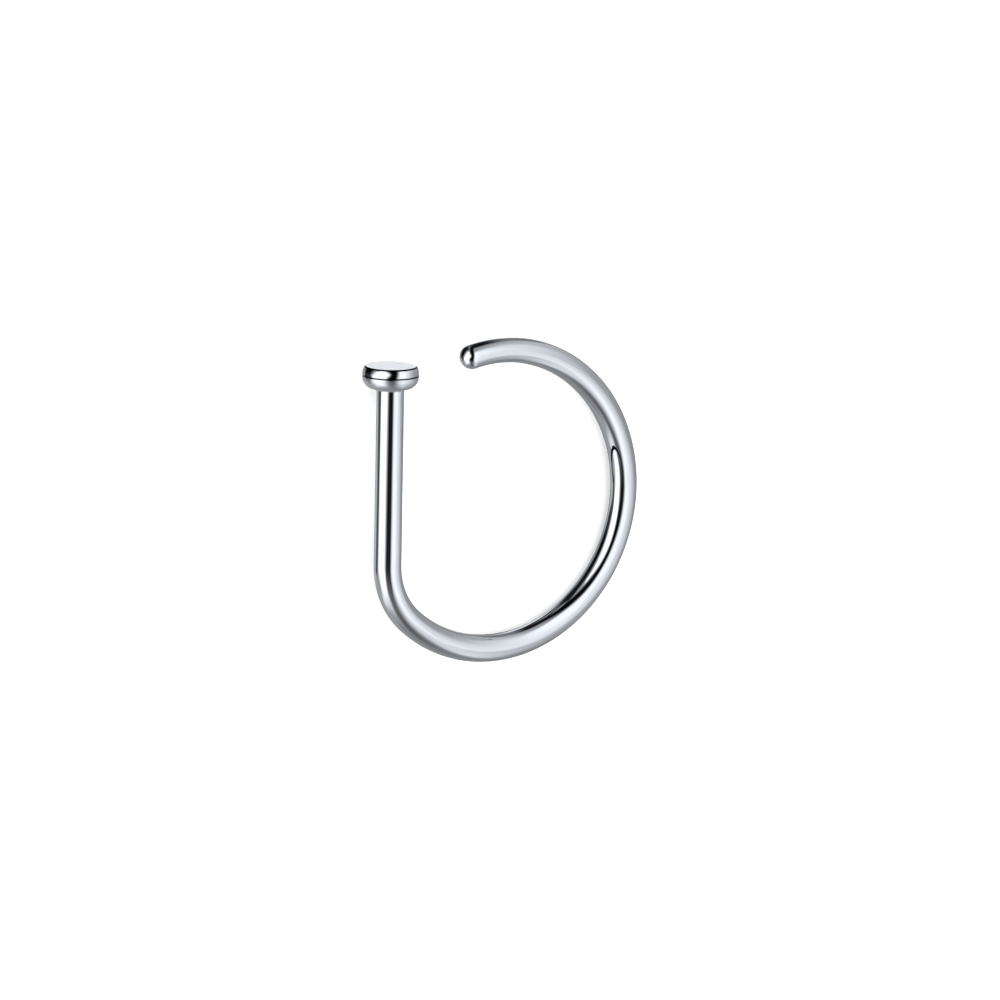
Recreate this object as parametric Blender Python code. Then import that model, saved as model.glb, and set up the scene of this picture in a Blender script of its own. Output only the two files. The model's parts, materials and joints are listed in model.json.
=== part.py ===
"""Nose ring: an open hoop of polished steel wire with a flat round head, for a nostril piercing.

The hoop is one solid. From the head's flat face the wire runs down a straight post, through a
bend and then round a true circle, to a rounded free end that stops short of the head. It is
modelled in its own plane, with x across the loop, y up the post and z square to the loop, and
is then laid on its side, tilted as it settles by itself between its head and its wire.
Lengths are metres and +Z is up. The surface that the hoop lies on is z = 0.
"""

from math import acos, ceil, cos, pi, radians, sin

import bmesh
import bpy
from mathutils import Matrix, Vector
from mathutils.geometry import intersect_point_tri

MM = 0.001

# The loop
INNER_DIAMETER = 8.0 * MM  # inside the round part, the size that such a ring is sold by
WIRE_DIAMETER = 0.8 * MM  # 20 gauge
POST_INSET = 0.7 * MM  # how far the post's axis is set in from the full circle
BEND_RADIUS = 2.3 * MM  # centre line of the bend between the post and the arc

# The head
HEAD_DIAMETER = 1.63 * MM
HEAD_THICKNESS = 0.66 * MM
HEAD_TOP_ROUND = 0.17 * MM  # round on the rim of the flat face
HEAD_LOWER_ROUND = 0.34 * MM  # larger round that leads in under the head
NECK_FILLET = 0.06 * MM  # hollow round where the post meets the underside
HEAD_DROP = 0.54 * MM  # how far the flat face lies below the top of the full circle

# The free end
TIP_DIAMETER = 0.72 * MM  # the wire thins a little towards the end that goes in
TIP_ANGLE = radians(102.7)  # where the rounded end starts, anticlockwise from +x
TAPER_START = radians(40.0)
TAPER_END = radians(85.0)

# Facets
WELD = 0.0001 * MM
WIRE_SIDES = 32
ARC_STEP = radians(5.0)  # turn from one section to the next along the wire
ROUND_STEP = radians(15.0)  # turn from one section to the next over a round edge or end

# Polished steel
STEEL_COLOUR = (0.74, 0.76, 0.78, 1.0)
STEEL_ROUGHNESS = 0.08

# Worked out from the sizes above
WIRE_RADIUS = WIRE_DIAMETER / 2
TIP_RADIUS = TIP_DIAMETER / 2
HEAD_RADIUS = HEAD_DIAMETER / 2
LOOP_RADIUS = INNER_DIAMETER / 2 + WIRE_RADIUS
POST_X = POST_INSET - LOOP_RADIUS
HEAD_TOP = LOOP_RADIUS + WIRE_RADIUS - HEAD_DROP
HEAD_UNDERSIDE = HEAD_TOP - HEAD_THICKNESS
UNDER_WIDTH = HEAD_RADIUS - WIRE_RADIUS - NECK_FILLET  # left for the round beside the neck
LOWER_ROUND = min(HEAD_LOWER_ROUND, UNDER_WIDTH, HEAD_THICKNESS - HEAD_TOP_ROUND)
BEND_OFFSET = LOOP_RADIUS - BEND_RADIUS  # loop centre to bend centre
JOIN_ANGLE = -acos((POST_X + BEND_RADIUS) / BEND_OFFSET)  # where the bend runs into the arc


def clear_scene():
    for existing in list(bpy.data.objects):
        bpy.data.objects.remove(existing)


def steps(start, end, step):
    """Angles from start to end, both included, no further apart than step."""
    count = ceil(abs(end - start) / step)
    return [start + (end - start) * i / count for i in range(count + 1)]


def section(centre, heading, radius):
    """The matrix that sets a unit circle square to the wire, at a place along it."""
    across = Vector((-sin(heading), cos(heading), 0.0))
    up = Vector((0.0, 0.0, 1.0))
    along = Vector((cos(heading), sin(heading), 0.0))
    turn = Matrix((across, up, along)).transposed()
    return Matrix.LocRotScale(Vector((*centre, 0.0)), turn, Vector((radius, radius, 1.0)))


def head_sections():
    """Down the head: the rim's round, the side, the larger round below and the neck."""
    top_centre = HEAD_TOP - HEAD_TOP_ROUND
    low_centre = HEAD_UNDERSIDE + LOWER_ROUND
    placed = []
    for slope in steps(pi / 2, 0.0, ROUND_STEP):
        radius = HEAD_RADIUS - HEAD_TOP_ROUND * (1 - cos(slope))
        placed.append(section((POST_X, top_centre + HEAD_TOP_ROUND * sin(slope)), -pi / 2, radius))
    for slope in steps(0.0, -pi / 2, ROUND_STEP):
        radius = HEAD_RADIUS - LOWER_ROUND * (1 - cos(slope))
        placed.append(section((POST_X, low_centre + LOWER_ROUND * sin(slope)), -pi / 2, radius))
    for slope in steps(0.0, pi / 2, ROUND_STEP):
        radius = WIRE_RADIUS + NECK_FILLET * (1 - sin(slope))
        height = HEAD_UNDERSIDE - NECK_FILLET * (1 - cos(slope))
        placed.append(section((POST_X, height), -pi / 2, radius))
    return placed


def wire_radius(angle):
    """The wire's radius along the arc: full, then tapering to the free end's."""
    share = (angle - TAPER_START) / (TAPER_END - TAPER_START)
    return WIRE_RADIUS + (TIP_RADIUS - WIRE_RADIUS) * min(max(share, 0.0), 1.0)


def wire_sections():
    """From the foot of the post round the bend and round the arc to the free end."""
    bend_x = BEND_OFFSET * cos(JOIN_ANGLE)
    bend_y = BEND_OFFSET * sin(JOIN_ANGLE)
    placed = []
    for angle in steps(-pi, JOIN_ANGLE, ARC_STEP):
        centre = (bend_x + BEND_RADIUS * cos(angle), bend_y + BEND_RADIUS * sin(angle))
        placed.append(section(centre, angle + pi / 2, WIRE_RADIUS))
    for angle in steps(JOIN_ANGLE, TIP_ANGLE, ARC_STEP)[1:]:
        centre = (LOOP_RADIUS * cos(angle), LOOP_RADIUS * sin(angle))
        placed.append(section(centre, angle + pi / 2, wire_radius(angle)))
    return placed


def tip_sections():
    """Over the rounded free end, a half ball on the arc's last section, up to its pole."""
    centre = Vector((LOOP_RADIUS * cos(TIP_ANGLE), LOOP_RADIUS * sin(TIP_ANGLE)))
    heading = TIP_ANGLE + pi / 2
    along = Vector((cos(heading), sin(heading)))
    placed = []
    for slope in steps(0.0, pi / 2, ROUND_STEP)[1:-1]:
        placed.append(section(centre + along * TIP_RADIUS * sin(slope), heading, TIP_RADIUS * cos(slope)))
    return placed, centre + along * TIP_RADIUS


def hoop_mesh():
    """One closed skin: a circle extruded from section to section, from the head to the tip."""
    tip, pole = tip_sections()
    placed = head_sections() + wire_sections() + tip
    skin = bmesh.new()
    bmesh.ops.create_circle(skin, segments=WIRE_SIDES, radius=1.0, matrix=placed[0])
    edges = skin.edges[:]
    bmesh.ops.contextual_create(skin, geom=edges)
    for before, after in zip(placed, placed[1:]):
        grown = bmesh.ops.extrude_edge_only(skin, edges=edges)["geom"]
        ring = [item for item in grown if isinstance(item, bmesh.types.BMVert)]
        edges = [item for item in grown if isinstance(item, bmesh.types.BMEdge)]
        bmesh.ops.transform(skin, matrix=after @ before.inverted(), verts=ring)
    grown = bmesh.ops.extrude_edge_only(skin, edges=edges)["geom"]
    ring = [item for item in grown if isinstance(item, bmesh.types.BMVert)]
    bmesh.ops.pointmerge(skin, verts=ring, merge_co=Vector((*pole, 0.0)))
    bmesh.ops.remove_doubles(skin, verts=skin.verts, dist=WELD)
    bmesh.ops.recalc_face_normals(skin, faces=skin.faces)
    mesh = bpy.data.meshes.new("nose_hoop")
    skin.to_mesh(mesh)
    skin.free()
    return mesh


def centre_of_mass(mesh):
    """The solid's centroid, from the tetrahedra that its triangles make with the origin."""
    volume = 0.0
    moment = Vector()
    mesh.calc_loop_triangles()
    for triangle in mesh.loop_triangles:
        a, b, c = (mesh.vertices[index].co for index in triangle.vertices)
        part = a.dot(b.cross(c))
        volume += part
        moment += part * (a + b + c) / 4
    return moment / volume


def resting_turn(mesh):
    """The least turn that lays the hoop down, its centre of mass over what it rests on."""
    down = Vector((0.0, 0.0, -1.0))
    centre = centre_of_mass(mesh) / MM
    hull = bmesh.new()
    hull.from_mesh(mesh)
    bmesh.ops.scale(hull, vec=Vector((1 / MM,) * 3), verts=hull.verts)
    bmesh.ops.convex_hull(hull, input=hull.verts[:], use_existing_faces=False)
    bmesh.ops.triangulate(hull, faces=hull.faces[:])
    hull.normal_update()
    stable = []
    for face in hull.faces:
        corners = [vert.co for vert in face.verts]
        outward = face.normal if face.normal.dot(corners[0] - centre) > 0 else -face.normal
        if intersect_point_tri(centre, *corners):
            stable.append(outward.copy())
    hull.free()
    return max(stable, key=down.dot).rotation_difference(down)


def polished_steel():
    steel = bpy.data.materials.new("polished_steel")
    steel.use_nodes = True
    shader = steel.node_tree.nodes["Principled BSDF"]
    shader.inputs["Base Color"].default_value = STEEL_COLOUR
    shader.inputs["Roughness"].default_value = STEEL_ROUGHNESS
    shader.inputs["Metallic"].default_value = 1.0
    return steel


def lay_down(hoop, turn):
    """Turn the hoop, stand its lowest point on z = 0 and centre it over the origin."""
    corners = [turn @ vertex.co for vertex in hoop.data.vertices]
    low = Vector(map(min, *corners))
    high = Vector(map(max, *corners))
    hoop.rotation_mode = "QUATERNION"
    hoop.rotation_quaternion = turn
    hoop.location = (-(low.x + high.x) / 2, -(low.y + high.y) / 2, -low.z)


def make_nose_hoop():
    mesh = hoop_mesh()
    mesh.shade_smooth()
    mesh.set_sharp_from_angle(angle=2 * ROUND_STEP)
    mesh.materials.append(polished_steel())
    hoop = bpy.data.objects.new("nose_hoop", mesh)
    bpy.context.scene.collection.objects.link(hoop)
    lay_down(hoop, resting_turn(mesh))


clear_scene()
make_nose_hoop()
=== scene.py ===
"""Nose ring on a pale studio floor: the wire hoop with its head, in polished surgical steel.

The hoop is modelled in its own plane, with x across the loop, y up the post and z square to the
loop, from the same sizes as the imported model, only with finer facets. It is then laid where the
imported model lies. Lengths are metres and +Z is up.
"""

import json
from math import acos, ceil, cos, hypot, pi, radians, sin

import bmesh
import bpy
import numpy as np
from mathutils import Matrix, Vector


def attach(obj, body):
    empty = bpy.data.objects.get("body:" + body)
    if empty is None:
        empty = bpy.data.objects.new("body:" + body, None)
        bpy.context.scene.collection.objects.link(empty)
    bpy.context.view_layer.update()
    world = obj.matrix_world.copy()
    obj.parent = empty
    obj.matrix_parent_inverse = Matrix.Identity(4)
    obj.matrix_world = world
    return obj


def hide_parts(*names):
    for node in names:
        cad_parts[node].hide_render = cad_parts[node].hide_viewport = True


MM = 0.001

# The loop
INNER_DIAMETER = 8.0 * MM
WIRE_DIAMETER = 0.8 * MM
POST_INSET = 0.7 * MM
BEND_RADIUS = 2.3 * MM

# The head
HEAD_DIAMETER = 1.63 * MM
HEAD_THICKNESS = 0.66 * MM
RIM_WIDTH = 0.11 * MM  # the face's rim is rounded steeply: a quarter of an ellipse
RIM_HEIGHT = 0.26 * MM
HEAD_LOWER_ROUND = 0.34 * MM
NECK_FILLET = 0.06 * MM
HEAD_DROP = 0.54 * MM

# The free end
TIP_DIAMETER = 0.72 * MM
TIP_ANGLE = radians(102.7)
TAPER_START = radians(40.0)
TAPER_END = radians(85.0)

# Facets, fine enough that a mirror finish shows none
WIRE_SIDES = 96
ARC_STEP = radians(1.25)
ROUND_STEP = radians(6.0)
FLAT_CENTRE = 0.3  # share of the flat face inside its first ring of points
FLAT_EDGE = 0.98  # and inside its second, which keeps the shading flat up to the rim
WELD = 0.0001 * MM

# Worked out from the sizes above
WIRE_RADIUS = WIRE_DIAMETER / 2
TIP_RADIUS = TIP_DIAMETER / 2
HEAD_RADIUS = HEAD_DIAMETER / 2
LOOP_RADIUS = INNER_DIAMETER / 2 + WIRE_RADIUS
POST_X = POST_INSET - LOOP_RADIUS
HEAD_TOP = LOOP_RADIUS + WIRE_RADIUS - HEAD_DROP
HEAD_UNDERSIDE = HEAD_TOP - HEAD_THICKNESS
UNDER_WIDTH = HEAD_RADIUS - WIRE_RADIUS - NECK_FILLET
LOWER_ROUND = min(HEAD_LOWER_ROUND, UNDER_WIDTH, HEAD_THICKNESS - RIM_HEIGHT)
BEND_OFFSET = LOOP_RADIUS - BEND_RADIUS
JOIN_ANGLE = -acos((POST_X + BEND_RADIUS) / BEND_OFFSET)

# The steel's finish
DRAWN_LINE = 0.07 * MM
DRAWN_LENGTH = 2.5 * MM
TOOL_LINE = 0.06 * MM
TOOL_LENGTH = 0.8 * MM
LINE_DEPTH = 0.0004 * MM
BUFFING_SPOT = 0.9 * MM
BUFFING_DEPTH = 0.0015 * MM
HAZE_SPOT = 0.35 * MM
BUFFED_ROUGHNESS = (0.03, 0.075)
FACE_ROUGHNESS = 0.2
SATIN_ROUGHNESS = (0.27, 0.35)

# Where the finishes meet, along the profile from the middle of the head's face
RIM_START = HEAD_RADIUS - RIM_WIDTH
RIM_LENGTH = 1.1 * hypot(RIM_WIDTH, RIM_HEIGHT)  # close to a quarter of the ellipse's outline
TURNED_START = RIM_START + RIM_LENGTH
TURNED_END = TURNED_START + HEAD_THICKNESS - RIM_HEIGHT - LOWER_ROUND + LOWER_ROUND * pi / 2
TURNED_EDGE = 0.04 * MM
FACE_SEAM = RIM_START + 0.045 * MM
FACE_SEAM_HALF = 0.03 * MM
SIDE_SEAM_HALF = 0.0225 * MM

# The photograph's camera, seen from the loop: directions in the hoop's own axes
TOWARDS_CAMERA = Vector((-0.5311, 0.2024, 0.8228)).normalized()
PICTURE_UP = Vector((0.0924, 0.9791, -0.1811)).normalized()
CAMERA_DISTANCE = 174.1 * MM
CAMERA_LENS = 216.0
CAMERA_SENSOR = 36.0
AIM_RIGHT = 0.081 * MM
AIM_UP = -0.009 * MM

# The studio
FLOOR_SIZE = 3.0
ROOM_LIGHT = 2.2
TENT_RADIUS = 25.0 * MM
TENT_DIVISIONS = 5


def steps(start, end, step):
    """Angles from start to end, both included, no further apart than step."""
    count = ceil(abs(end - start) / step)
    return [start + (end - start) * i / count for i in range(count + 1)]


def section(centre, heading, radius):
    """The matrix that sets a unit circle square to the wire, at a place along it."""
    across = Vector((-sin(heading), cos(heading), 0.0))
    up = Vector((0.0, 0.0, 1.0))
    along = Vector((cos(heading), sin(heading), 0.0))
    turn = Matrix((across, up, along)).transposed()
    return Matrix.LocRotScale(Vector((*centre, 0.0)), turn, Vector((radius, radius, 1.0)))


def head_sections():
    """Down the head: the flat face, the rim's round, the side, the larger round and the neck."""
    rim_low = HEAD_TOP - RIM_HEIGHT
    low_centre = HEAD_UNDERSIDE + LOWER_ROUND
    flat_radius = HEAD_RADIUS - RIM_WIDTH
    placed = []
    for share in (FLAT_CENTRE, FLAT_EDGE):
        placed.append(section((POST_X, HEAD_TOP), -pi / 2, flat_radius * share))
    for slope in steps(pi / 2, 0.0, ROUND_STEP / 2):
        radius = HEAD_RADIUS - RIM_WIDTH * (1 - cos(slope))
        placed.append(section((POST_X, rim_low + RIM_HEIGHT * sin(slope)), -pi / 2, radius))
    for slope in steps(0.0, -pi / 2, ROUND_STEP):
        radius = HEAD_RADIUS - LOWER_ROUND * (1 - cos(slope))
        placed.append(section((POST_X, low_centre + LOWER_ROUND * sin(slope)), -pi / 2, radius))
    for slope in steps(0.0, pi / 2, ROUND_STEP * 2):
        radius = WIRE_RADIUS + NECK_FILLET * (1 - sin(slope))
        height = HEAD_UNDERSIDE - NECK_FILLET * (1 - cos(slope))
        placed.append(section((POST_X, height), -pi / 2, radius))
    return placed


def wire_radius(angle):
    """The wire's radius along the arc: full, then tapering to the free end's."""
    share = (angle - TAPER_START) / (TAPER_END - TAPER_START)
    return WIRE_RADIUS + (TIP_RADIUS - WIRE_RADIUS) * min(max(share, 0.0), 1.0)


def wire_sections():
    """From the foot of the post round the bend and round the arc to the free end."""
    bend_x = BEND_OFFSET * cos(JOIN_ANGLE)
    bend_y = BEND_OFFSET * sin(JOIN_ANGLE)
    placed = []
    for angle in steps(-pi, JOIN_ANGLE, ARC_STEP):
        centre = (bend_x + BEND_RADIUS * cos(angle), bend_y + BEND_RADIUS * sin(angle))
        placed.append(section(centre, angle + pi / 2, WIRE_RADIUS))
    for angle in steps(JOIN_ANGLE, TIP_ANGLE, ARC_STEP)[1:]:
        centre = (LOOP_RADIUS * cos(angle), LOOP_RADIUS * sin(angle))
        placed.append(section(centre, angle + pi / 2, wire_radius(angle)))
    return placed


def tip_sections():
    """Over the rounded free end, a half ball on the arc's last section, up to its pole."""
    centre = Vector((LOOP_RADIUS * cos(TIP_ANGLE), LOOP_RADIUS * sin(TIP_ANGLE)))
    heading = TIP_ANGLE + pi / 2
    along = Vector((cos(heading), sin(heading)))
    placed = []
    for slope in steps(0.0, pi / 2, ROUND_STEP)[1:-1]:
        placed.append(section(centre + along * TIP_RADIUS * sin(slope), heading, TIP_RADIUS * cos(slope)))
    return placed, centre + along * TIP_RADIUS


def hoop_skin():
    """One closed skin, and on each point its place if the wire were pulled straight."""
    tip, pole = tip_sections()
    placed = head_sections() + wire_sections() + tip
    skin = bmesh.new()
    straight = skin.verts.layers.float_vector.new("straight")
    start = bmesh.ops.create_circle(skin, segments=WIRE_SIDES, radius=1.0, matrix=placed[0])
    edges = skin.edges[:]
    bmesh.ops.contextual_create(skin, geom=edges)
    length = placed[0].to_scale().x
    mark_straight(start["verts"], straight, placed[0], length)
    for before, after in zip(placed, placed[1:]):
        grown = bmesh.ops.extrude_edge_only(skin, edges=edges)["geom"]
        ring = [item for item in grown if isinstance(item, bmesh.types.BMVert)]
        edges = [item for item in grown if isinstance(item, bmesh.types.BMEdge)]
        bmesh.ops.transform(skin, matrix=after @ before.inverted(), verts=ring)
        advance = (after.to_translation() - before.to_translation()).length
        length += hypot(advance, after.to_scale().x - before.to_scale().x)
        mark_straight(ring, straight, after, length)
    grown = bmesh.ops.extrude_edge_only(skin, edges=edges)["geom"]
    ring = [item for item in grown if isinstance(item, bmesh.types.BMVert)]
    bmesh.ops.pointmerge(skin, verts=ring, merge_co=Vector((*pole, 0.0)))
    bmesh.ops.remove_doubles(skin, verts=skin.verts, dist=WELD)
    return skin


def mark_straight(ring, straight, placed, length):
    """Notes where each point of a section would be on the straight wire, in metres."""
    radius = placed.to_scale().x
    into_section = placed.inverted()
    for vert in ring:
        spot = into_section @ vert.co
        vert[straight] = Vector((spot.x * radius, spot.y * radius, length))


def hoop_pose(frame):
    """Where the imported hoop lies: the matrix from the hoop's own axes to the scene's."""
    face = next(mount for mount in frame["record"]["mounts"] if mount["name"] == "head_face")
    up = Vector(face["axis"]).normalized()
    points = np.array([vertex.co for vertex in frame["nodes"]["nose_hoop"].data.vertices])
    square = Vector(np.linalg.eigh(np.cov(points.T))[1][:, 0])
    square *= 1 if square.z > 0 else -1
    across = up.cross(square).normalized()
    centre = Vector(face["pos_m"]) - across * POST_X - up * HEAD_TOP
    return Matrix.Translation(centre) @ Matrix((across, up, across.cross(up))).transposed().to_4x4()


def linear(hex_colour):
    """An sRGB hex colour as linear red, green, blue and alpha."""
    shares = [int(hex_colour[i:i + 2], 16) / 255 for i in (1, 3, 5)]
    return (*(s / 12.92 if s <= 0.04045 else ((s + 0.055) / 1.055) ** 2.4 for s in shares), 1.0)


def add_node(tree, kind, inputs=None, **settings):
    """Adds a node. Settings are its own, and inputs are values or the outputs that feed it."""
    node = tree.nodes.new(kind)
    for name, value in settings.items():
        setattr(node, name, value)
    for key, value in (inputs or {}).items():
        if isinstance(value, bpy.types.NodeSocket):
            tree.links.new(value, node.inputs[key])
        else:
            node.inputs[key].default_value = value
    return node


def buffed_steel():
    """316L surgical steel wire with a headed end, tumbled and buffed.

    It is a cool grey metal with a near mirror finish. Drawing left faint lines along the wire,
    buffing left a soft unevenness and a little haze, and turning left faint rings on the head,
    whose side stays satin.
    """
    steel = bpy.data.materials.new("buffed_316l_steel")
    steel.use_nodes = True
    tree = steel.node_tree
    shader = tree.nodes["Principled BSDF"]
    straight = add_node(tree, "ShaderNodeAttribute", attribute_name="straight").outputs["Vector"]
    place = add_node(tree, "ShaderNodeTexCoord").outputs["Object"]
    length = add_node(tree, "ShaderNodeSeparateXYZ", {0: straight}).outputs["Z"]

    # 1 on the turned side of the head, then 1 on its flat face, then 1 on both
    above = add_node(tree, "ShaderNodeMapRange", {"Value": length, "From Min": TURNED_START,
                                                  "From Max": TURNED_START + TURNED_EDGE},
                     interpolation_type="SMOOTHSTEP")
    below = add_node(tree, "ShaderNodeMapRange", {"Value": length, "From Min": TURNED_END - TURNED_EDGE,
                                                  "From Max": TURNED_END, "To Min": 1.0, "To Max": 0.0},
                     interpolation_type="SMOOTHSTEP")
    turned = add_node(tree, "ShaderNodeMath", {0: above.outputs[0], 1: below.outputs[0]},
                      operation="MULTIPLY").outputs[0]
    on_face = add_node(tree, "ShaderNodeMapRange", {"Value": length, "From Min": RIM_START - TURNED_EDGE,
                                                    "From Max": RIM_START, "To Min": 1.0, "To Max": 0.0})
    on_face = on_face.outputs[0]
    tooled_part = add_node(tree, "ShaderNodeMath", {0: turned, 1: on_face}, operation="MAXIMUM")

    # The lines are really some 0.01 mm apart, and are drawn coarser so that they show.
    drawn = add_node(tree, "ShaderNodeVectorMath",
                     {0: straight, 1: (1 / DRAWN_LINE, 1 / DRAWN_LINE, 1 / DRAWN_LENGTH)},
                     operation="MULTIPLY")
    drawn = add_node(tree, "ShaderNodeTexNoise", {"Vector": drawn.outputs[0], "Scale": 1.0, "Detail": 2.0})
    tooled = add_node(tree, "ShaderNodeVectorMath",
                      {0: straight, 1: (1 / TOOL_LENGTH, 1 / TOOL_LENGTH, 1 / TOOL_LINE)},
                      operation="MULTIPLY")
    tooled = add_node(tree, "ShaderNodeTexNoise", {"Vector": tooled.outputs[0], "Scale": 1.0, "Detail": 1.0})
    lines = add_node(tree, "ShaderNodeMapRange", {"Value": tooled_part.outputs[0],
                                                  "To Min": drawn.outputs[0],
                                                  "To Max": tooled.outputs[0]}).outputs[0]
    buffing = add_node(tree, "ShaderNodeTexNoise",
                       {"Vector": place, "Scale": 1 / BUFFING_SPOT, "Detail": 1.0})
    haze = add_node(tree, "ShaderNodeTexNoise", {"Vector": place, "Scale": 1 / HAZE_SPOT, "Detail": 3.0})

    # Haze blurs the mirror a little. The turned side is satin, and the flat face, turned too but
    # then buffed, is halfway between the two.
    buffed = add_node(tree, "ShaderNodeMapRange",
                      {"Value": haze.outputs[0], "From Min": 0.35, "From Max": 0.75,
                       "To Min": BUFFED_ROUGHNESS[0], "To Max": BUFFED_ROUGHNESS[1]})
    face = add_node(tree, "ShaderNodeMapRange", {"Value": on_face, "To Min": buffed.outputs[0],
                                                 "To Max": FACE_ROUGHNESS})
    satin = add_node(tree, "ShaderNodeMapRange",
                     {"Value": tooled.outputs[0], "From Min": 0.3, "From Max": 0.7,
                      "To Min": SATIN_ROUGHNESS[0], "To Max": SATIN_ROUGHNESS[1]})
    roughness = add_node(tree, "ShaderNodeMapRange", {"Value": turned, "To Min": face.outputs[0],
                                                      "To Max": satin.outputs[0]})
    tree.links.new(roughness.outputs[0], shader.inputs["Roughness"])

    # The hollows of the lines hold a trace of polishing compound. The two edges of the rim, by the face and
    # by the turned side, get a near black line of painted shade, standing in for a fine groove that the mesh
    # doesn't have.
    hollow = add_node(tree, "ShaderNodeMapRange", {"Value": lines, "From Min": 0.42, "From Max": 0.3})
    face_edge_shade = add_node(tree, "ShaderNodeMath", {0: length, 1: FACE_SEAM, 2: FACE_SEAM_HALF},
                         operation="COMPARE")
    side_edge_shade = add_node(tree, "ShaderNodeMath", {0: length, 1: TURNED_START, 2: SIDE_SEAM_HALF},
                         operation="COMPARE")
    rim_groove_shade = add_node(tree, "ShaderNodeMath", {0: face_edge_shade.outputs[0], 1: side_edge_shade.outputs[0]},
                    operation="MAXIMUM")
    colour = add_node(tree, "ShaderNodeMix", {"Factor": hollow.outputs[0], "A": linear("#D2D5DA"),
                                              "B": linear("#C5C8CB")}, data_type="RGBA")
    # Painted groove shade: the rim's two edges are coloured near black
    colour = add_node(tree, "ShaderNodeMix", {"Factor": rim_groove_shade.outputs[0], "A": colour.outputs["Result"],
                                              "B": linear("#26292D")}, data_type="RGBA")
    tree.links.new(colour.outputs["Result"], shader.inputs["Base Color"])

    uneven = add_node(tree, "ShaderNodeBump", {"Height": buffing.outputs[0], "Distance": BUFFING_DEPTH})
    lined = add_node(tree, "ShaderNodeBump", {"Height": lines, "Distance": LINE_DEPTH,
                                              "Normal": uneven.outputs[0]})
    tree.links.new(lined.outputs[0], shader.inputs["Normal"])
    shader.inputs["Metallic"].default_value = 1.0
    return steel


def make_hoop(frame):
    """The ring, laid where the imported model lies. The photograph shows no ring in the ring, so its
    steel doesn't mirror itself.
    """
    skin = hoop_skin()
    bmesh.ops.transform(skin, matrix=hoop_pose(frame), verts=skin.verts)
    bmesh.ops.recalc_face_normals(skin, faces=skin.faces)
    mesh = bpy.data.meshes.new("hoop")
    skin.to_mesh(mesh)
    skin.free()
    mesh.shade_smooth()
    mesh.materials.append(buffed_steel())
    hoop = bpy.data.objects.new("hoop", mesh)
    hoop.visible_glossy = False
    bpy.context.scene.collection.objects.link(hoop)
    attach(hoop, "root")
    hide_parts("nose_hoop")


def make_floor():
    """A sheet of matt white paper. The steel doesn't mirror it, only the studio."""
    sheet = bmesh.new()
    bmesh.ops.create_grid(sheet, x_segments=1, y_segments=1, size=FLOOR_SIZE / 2)
    mesh = bpy.data.meshes.new("floor")
    sheet.to_mesh(mesh)
    sheet.free()
    paper = bpy.data.materials.new("matt_white_paper")
    paper.use_nodes = True
    shader = paper.node_tree.nodes["Principled BSDF"]
    shader.inputs["Base Color"].default_value = linear("#F4F4F3")
    shader.inputs["Roughness"].default_value = 1.0
    shader.inputs["Specular IOR Level"].default_value = 0.0
    mesh.materials.append(paper)
    floor = bpy.data.objects.new("floor", mesh)
    floor.visible_glossy = False
    bpy.context.scene.collection.objects.link(floor)


# The tent's cards as the steel mirrors them. A place is where a mirror ball inside the loop would
# show the card to somebody at the photograph's camera, from -1 to 1 across and up. A card is a
# soft-edged stroke: its name, brightness, softness and places, each with the half width there.
# Later cards hide earlier ones.
BOUNCE = 0.48  # brightness of the tent between the cards
CARDS = (
    ("low_shade", 0.34, 0.8, ((-0.3, -0.74, 0.1), (0.0, -0.82, 0.15), (0.6, -0.74, 0.1))),
    ("low_left", 1.2, 1.0, ((-0.5, -0.46, 0.07), (-0.28, -0.43, 0.1))),
    ("low_right", 1.05, 1.0, ((0.3, -0.3, 0.14), (0.36, -0.5, 0.13), (0.3, -0.66, 0.08))),
    ("upper_glow", 0.7, 1.0, ((0.4, 0.76, 0.1), (0.46, 0.45, 0.16))),
    ("right_glow", 1.1, 0.95, ((0.44, 0.35, 0.14), (0.5, 0.05, 0.16), (0.57, -0.2, 0.17))),
    ("right_edge", 0.4, 0.8, ((0.9, 0.4, 0.09), (0.94, -0.1, 0.09), (0.9, -0.4, 0.09))),
    ("right_window", 1.5, 0.6, ((0.28, 0.3, 0.11), (0.33, 0.15, 0.14), (0.36, -0.22, 0.15))),
    ("left_window", 1.7, 0.4, ((-0.49, -0.12, 0.15), (-0.42, -0.3, 0.13), (-0.34, -0.3, 0.13))),
    ("left_window_top", 1.8, 0.35, ((-0.4, -0.02, 0.2), (-0.3, 0.12, 0.2), (-0.25, 0.36, 0.07))),
    ("left_edge", 0.8, 0.6, ((-0.95, 0.15, 0.09), (-0.93, -0.3, 0.09))),
    ("arch", 0.002, 0.5,
     ((-0.76, 0.12, 0.1), (-0.68, 0.28, 0.13), (-0.57, 0.48, 0.14), (-0.44, 0.6, 0.14))),
    ("arch_top", 0.012, 0.5, ((-0.44, 0.64, 0.14), (-0.2, 0.66, 0.1), (0.0, 0.7, 0.1))),
    ("arch_glint", 0.5, 0.5, ((-0.18, 0.66, 0.05), (-0.13, 0.67, 0.05))),
    ("arch_end", 0.006, 0.6, ((0.02, 0.76, 0.13), (0.12, 0.76, 0.11))),
    ("upper_edge", 0.25, 0.7, ((0.2, 0.84, 0.08), (0.34, 0.82, 0.08))),
    ("upright", 0.002, 0.5,
     ((-0.04, 0.58, 0.13), (0.0, 0.4, 0.13), (0.06, 0.15, 0.11), (0.05, 0.03, 0.11),
      (-0.02, -0.12, 0.15), (-0.02, -0.24, 0.145))),
    ("foot", 0.012, 0.6, ((-0.02, -0.26, 0.13), (-0.04, -0.33, 0.11))),
    ("low_upright", 0.17, 0.9, ((-0.05, -0.4, 0.11), (0.0, -0.62, 0.13))),
    ("sill", 0.04, 0.5, ((-0.75, 0.12, 0.09), (-0.72, 0.0, 0.08))),
    ("sill_low", 0.09, 0.6, ((-0.71, 0.0, 0.07), (-0.74, -0.18, 0.06))),
)

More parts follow.
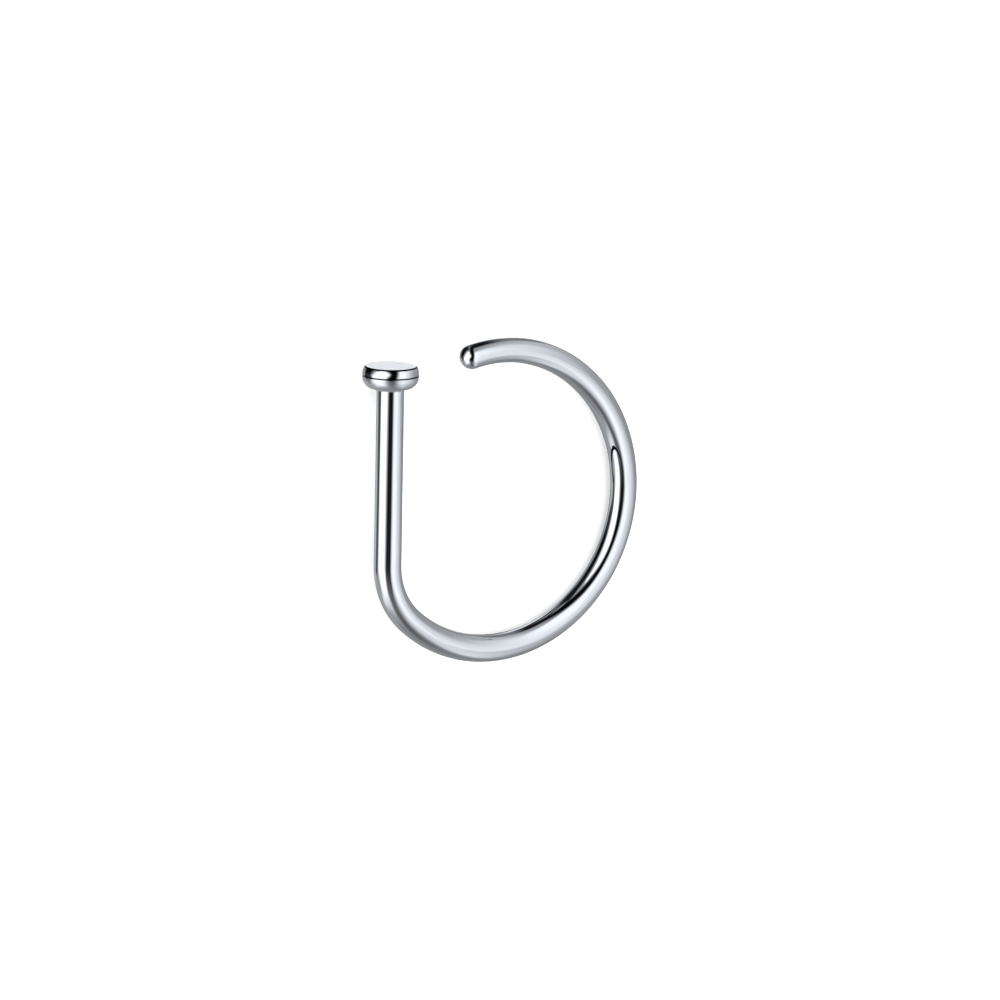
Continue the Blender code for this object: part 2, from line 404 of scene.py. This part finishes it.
# The same for somebody straight behind the ring, in the part of the tent that the photograph
# doesn't show
REAR_CARDS = (
    ("rear_band", 0.36, 0.35,
     ((0.0, 0.3, 0.1), (0.21, 0.21, 0.1), (0.3, 0.0, 0.1), (0.21, -0.21, 0.1), (0.0, -0.3, 0.1),
      (-0.21, -0.21, 0.1), (-0.3, 0.0, 0.1), (-0.21, 0.21, 0.1), (0.0, 0.3, 0.1))),
    ("tip_shade", 0.01, 0.5, ((0.05, 0.45, 0.08), (0.14, 0.45, 0.08))),
    ("face_light", 1.2, 0.6, ((0.04, 0.31, 0.08), (0.1, 0.31, 0.08))),
    ("rear_window", 1.5, 0.6, ((-0.08, 0.03, 0.06), (0.08, 0.03, 0.06))),
    ("rear_bar", 0.02, 0.5, ((0.0, 0.1, 0.02), (0.01, -0.08, 0.02))),
)

# A bent strip of black card by the far side of the arc: places across, up and towards the
# photograph's camera from the middle of the loop, then half widths, all in millimetres
FLAG = (
    (2.74, 0.39, -2.19, 0.06),
    (2.75, 0.73, -2.16, 0.09),
    (2.75, 0.91, -1.97, 0.085),
    (2.85, 1.03, -1.6, 0.06),
    (3.07, 1.04, -1.3, 0.045),
    (3.51, 0.83, -1.17, 0.055),
    (3.62, 0.45, -1.24, 0.04),
)


def lay_cards(tree, light, direction, cards, right, up, towards):
    """Lays cards over the tent's light, as a mirror ball would show them from one side."""
    halfway = add_node(tree, "ShaderNodeVectorMath", {0: direction, 1: towards}, operation="ADD")
    halfway = add_node(tree, "ShaderNodeVectorMath", {0: halfway.outputs[0]}, operation="NORMALIZE")
    across = add_node(tree, "ShaderNodeVectorMath", {0: halfway.outputs[0], 1: right},
                      operation="DOT_PRODUCT")
    upward = add_node(tree, "ShaderNodeVectorMath", {0: halfway.outputs[0], 1: up},
                      operation="DOT_PRODUCT")
    place = add_node(tree, "ShaderNodeCombineXYZ", {0: across.outputs["Value"], 1: upward.outputs["Value"]})
    for name, brightness, softness, places in cards:
        cover = 0.0
        for (x, y, half_width), (next_x, next_y, next_half_width) in zip(places, places[1:]):
            start = Vector((x, y, 0.0))
            run = Vector((next_x, next_y, 0.0)) - start
            offset = add_node(tree, "ShaderNodeVectorMath", {0: place.outputs[0], 1: start},
                              operation="SUBTRACT")
            share = add_node(tree, "ShaderNodeVectorMath",
                             {0: offset.outputs[0], 1: run / run.length_squared}, operation="DOT_PRODUCT")
            share = add_node(tree, "ShaderNodeClamp", {0: share.outputs["Value"]})
            nearest = add_node(tree, "ShaderNodeVectorMath", {0: run, "Scale": share.outputs[0]},
                               operation="SCALE")
            distance = add_node(tree, "ShaderNodeVectorMath", {0: offset.outputs[0], 1: nearest.outputs[0]},
                                operation="DISTANCE")
            width = add_node(tree, "ShaderNodeMapRange", {"Value": share.outputs[0], "To Min": half_width,
                                                          "To Max": next_half_width})
            ratio = add_node(tree, "ShaderNodeMath", {0: distance.outputs["Value"], 1: width.outputs[0]},
                             operation="DIVIDE")
            stroke = add_node(tree, "ShaderNodeMapRange",
                              {"Value": ratio.outputs[0], "From Min": 1 - softness,
                               "From Max": 1 + softness, "To Min": 1.0, "To Max": 0.0},
                              interpolation_type="SMOOTHSTEP")
            cover = add_node(tree, "ShaderNodeMath", {0: cover, 1: stroke.outputs[0]},
                             operation="MAXIMUM").outputs[0]
        light = add_node(tree, "ShaderNodeMapRange", {"Value": cover, "To Min": light, "To Max": brightness},
                         label=name).outputs[0]
    return light


def make_tent(pose):
    """A small light tent of white cloth close round the ring. Only the steel mirrors it."""
    shell = bmesh.new()
    bmesh.ops.create_icosphere(shell, subdivisions=TENT_DIVISIONS, radius=TENT_RADIUS,
                               matrix=Matrix.Translation(pose.to_translation()))
    mesh = bpy.data.meshes.new("light_tent")
    shell.to_mesh(mesh)
    shell.free()
    cloth = bpy.data.materials.new("lit_tent_cloth")
    cloth.use_nodes = True
    cloth.cycles.emission_sampling = "NONE"
    tree = cloth.node_tree
    tree.nodes.remove(tree.nodes["Principled BSDF"])
    spot = add_node(tree, "ShaderNodeTexCoord").outputs["Object"]
    direction = add_node(tree, "ShaderNodeVectorMath", {0: spot, 1: pose.to_translation()},
                         operation="SUBTRACT")
    direction = add_node(tree, "ShaderNodeVectorMath", {0: direction.outputs[0]}, operation="NORMALIZE")
    towards = pose.to_3x3() @ TOWARDS_CAMERA
    right = (pose.to_3x3() @ PICTURE_UP).cross(towards).normalized()
    up = towards.cross(right)
    light = lay_cards(tree, BOUNCE, direction.outputs[0], CARDS, right, up, towards)
    light = lay_cards(tree, light, direction.outputs[0], REAR_CARDS, -right, up, -towards)
    glow = add_node(tree, "ShaderNodeEmission", {"Color": linear("#FAFCFE"), "Strength": light})
    tree.links.new(glow.outputs[0], tree.nodes["Material Output"].inputs["Surface"])
    mesh.materials.append(cloth)
    show_in_steel_only(bpy.data.objects.new("light_tent", mesh))


def make_flag(pose):
    """The black strip that closes the long loop of light on the arc."""
    towards = pose.to_3x3() @ TOWARDS_CAMERA
    right = (pose.to_3x3() @ PICTURE_UP).cross(towards).normalized()
    up = towards.cross(right)
    strip = bpy.data.curves.new("black_flag", "CURVE")
    strip.dimensions = "3D"
    strip.bevel_depth = MM
    spline = strip.splines.new("BEZIER")
    spline.bezier_points.add(len(FLAG) - 1)
    for point, (across, upward, forward, half_width) in zip(spline.bezier_points, FLAG):
        point.co = pose.to_translation() + MM * (right * across + up * upward + towards * forward)
        point.radius = half_width
        point.handle_left_type = "AUTO"
        point.handle_right_type = "AUTO"
    card = bpy.data.materials.new("matt_black_card")
    card.use_nodes = True
    shader = card.node_tree.nodes["Principled BSDF"]
    shader.inputs["Base Color"].default_value = linear("#060607")
    shader.inputs["Roughness"].default_value = 1.0
    shader.inputs["Specular IOR Level"].default_value = 0.0
    strip.materials.append(card)
    show_in_steel_only(bpy.data.objects.new("black_flag", strip))


def show_in_steel_only(backdrop):
    """Puts a part of the studio in the scene. Nothing but the steel's mirror shows it."""
    backdrop.visible_camera = False
    backdrop.visible_diffuse = False
    backdrop.visible_transmission = False
    backdrop.visible_volume_scatter = False
    backdrop.visible_shadow = False
    bpy.context.scene.collection.objects.link(backdrop)


def make_room():
    """Even white light all round for the floor. The steel mirrors the tent instead."""
    world = bpy.data.worlds.new("studio")
    world.use_nodes = True
    plain = world.node_tree.nodes["Background"]
    plain.inputs["Color"].default_value = (1.0, 1.0, 1.0, 1.0)
    plain.inputs["Strength"].default_value = ROOM_LIGHT
    bpy.context.scene.world = world
    world.cycles_visibility.glossy = False


def make_camera(pose):
    """A camera at the photograph's angle to the ring and the ring's size in it."""
    turn = pose.to_3x3()
    back = turn @ TOWARDS_CAMERA
    right = (turn @ PICTURE_UP).cross(back).normalized()
    up = back.cross(right)
    lens = bpy.data.cameras.new("camera")
    lens.lens = CAMERA_LENS
    lens.sensor_width = CAMERA_SENSOR
    lens.clip_start = CAMERA_DISTANCE / 100
    lens.clip_end = FLOOR_SIZE * 2
    camera = bpy.data.objects.new("camera", lens)
    place = pose.to_translation() + back * CAMERA_DISTANCE + right * AIM_RIGHT + up * AIM_UP
    camera.matrix_world = Matrix.Translation(place) @ Matrix((right, up, back)).transposed().to_4x4()
    bpy.context.scene.collection.objects.link(camera)
    bpy.context.scene.camera = camera


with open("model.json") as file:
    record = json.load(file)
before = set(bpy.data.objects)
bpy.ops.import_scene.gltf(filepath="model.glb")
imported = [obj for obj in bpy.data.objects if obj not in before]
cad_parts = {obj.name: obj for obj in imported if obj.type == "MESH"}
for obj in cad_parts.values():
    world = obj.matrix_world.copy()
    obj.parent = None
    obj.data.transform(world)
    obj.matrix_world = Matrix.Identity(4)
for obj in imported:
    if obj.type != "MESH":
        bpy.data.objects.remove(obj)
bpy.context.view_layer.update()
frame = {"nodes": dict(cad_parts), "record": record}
bpy.context.scene.view_settings.view_transform = "Standard"
pose = hoop_pose(frame)
make_hoop(frame)
make_floor()
make_tent(pose)
make_flag(pose)
make_room()
make_camera(pose)
